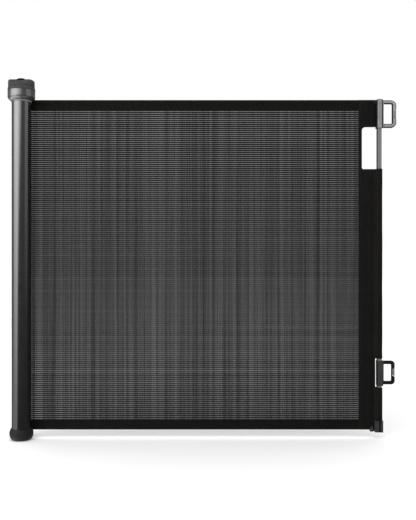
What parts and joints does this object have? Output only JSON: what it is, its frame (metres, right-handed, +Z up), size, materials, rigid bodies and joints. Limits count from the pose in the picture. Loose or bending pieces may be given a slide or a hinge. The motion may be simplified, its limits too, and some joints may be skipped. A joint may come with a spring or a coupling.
{
  "type": "retractable pet gate",
  "caption": "Retractable pet gate: a mesh screen rolls out sideways from an upright round housing with a locking knob, and its pull bar has two D loops for wall hooks.",
  "frame": {"origin": "on the roller's axis, at the underside of the foot", "axes": "+X the way the screen is pulled out, +Y towards the wall that carries the brackets, +Z up along the roller"},
  "size_m": [0.9855, 0.077, 0.9122],
  "materials": {
    "housing_gloss": "glossy dark grey with a sharp highlight",
    "knob_gloss": "moulded, semi-gloss",
    "button_black": "moulded, black",
    "trim_grey": "pale grey",
    "foot_black": "satin black",
    "pad_rubber": "matt",
    "bracket_paint": "powder-coated black",
    "steel": "plain",
    "spring_steel": "wire",
    "inner_plastic": "natural moulding",
    "bush_plastic": "natural acetal",
    "roller_aluminium": "extruded",
    "bar_grey": "satin grey",
    "fitting_grey": "satin moulding",
    "fitting_dark": "satin moulding",
    "loop_dark": "satin moulding",
    "loop_insert": "satin moulding",
    "band_fabric": "woven black webbing",
    "mesh_fabric": "open black mesh"
  },
  "bodies": {
    "housing": {"housing_tube": "housing_gloss", "top_trim_ring": "trim_grey", "top_collar": "housing_gloss", "collar_screws": "steel", "foot_screws": "steel", "knob_retaining_pins": "steel", "foot_cap": "foot_black", "foot_pad": "pad_rubber", "spindle": "steel", "spring_anchor": "inner_plastic", "torsion_spring": "spring_steel", "lower_bearing": "bush_plastic", "upper_bearing": "bush_plastic", "upper_wall_bracket": "bracket_paint", "lower_wall_bracket": "bracket_paint", "bracket_screws": "steel", "lift_springs": "spring_steel"},
    "roller": {"roller_tube": "roller_aluminium", "roller_bottom_plug": "inner_plastic", "roller_spring_plug": "inner_plastic", "roller_top_plug": "inner_plastic", "wound_mesh": "mesh_fabric", "mesh_clamp_strip": "inner_plastic", "ratchet_wheel": "bush_plastic", "ratchet_screw": "steel"},
    "lock_ring": {"lock_ring": "bush_plastic"},
    "lock_knob": {"lock_knob": "knob_gloss"},
    "release_button": {"release_button": "button_black", "button_stop_screw": "steel", "button_spring": "spring_steel"},
    "pull_bar": {"pull_bar": "bar_grey", "top_fitting": "fitting_grey", "top_fitting_rivet": "steel", "lower_clip": "fitting_dark", "bottom_fitting": "fitting_dark", "bar_screws": "steel", "upper_loop": "loop_dark", "upper_loop_insert": "loop_insert", "lower_loop": "loop_dark", "lower_loop_insert": "loop_insert", "lead_band": "band_fabric", "mesh_screen": "mesh_fabric", "top_hem": "band_fabric", "bottom_hem": "band_fabric"}
  },
  "joints": [
    {"name": "screen_pull", "type": "slide", "parent": "housing", "child": "pull_bar", "axis": [1, 0, 0], "range_m": [-0.825, 0.425], "deforming": ["mesh_screen", "top_hem", "bottom_hem"]},
    {"name": "roller_spin", "type": "hinge", "parent": "housing", "child": "roller", "pos_m": [0, 0, 0.44], "axis": [0, 0, 1], "range_deg": [-1531, 2971], "deforming": ["torsion_spring"]},
    {"name": "knob_turn", "type": "hinge", "parent": "housing", "child": "lock_knob", "pos_m": [0, 0, 0.9], "axis": [0, 0, 1], "range_deg": [0, 60]},
    {"name": "ring_drop", "type": "slide", "parent": "housing", "child": "lock_ring", "axis": [0, 0, -1], "range_m": [0, 0.003], "deforming": ["lift_springs"]},
    {"name": "button_press", "type": "slide", "parent": "lock_knob", "child": "release_button", "axis": [0, 0, -1], "range_m": [0, 0.004], "stiffness_N_per_m": 500, "springref_m": -0.001, "deforming": ["button_spring"]}
  ],
  "couplings": [
    {"joint": "roller_spin", "follows": "screen_pull", "rad_per_m": -62.832},
    {"joint": "ring_drop", "follows": "knob_turn", "m_per_rad": 0.0028648}
  ]
}
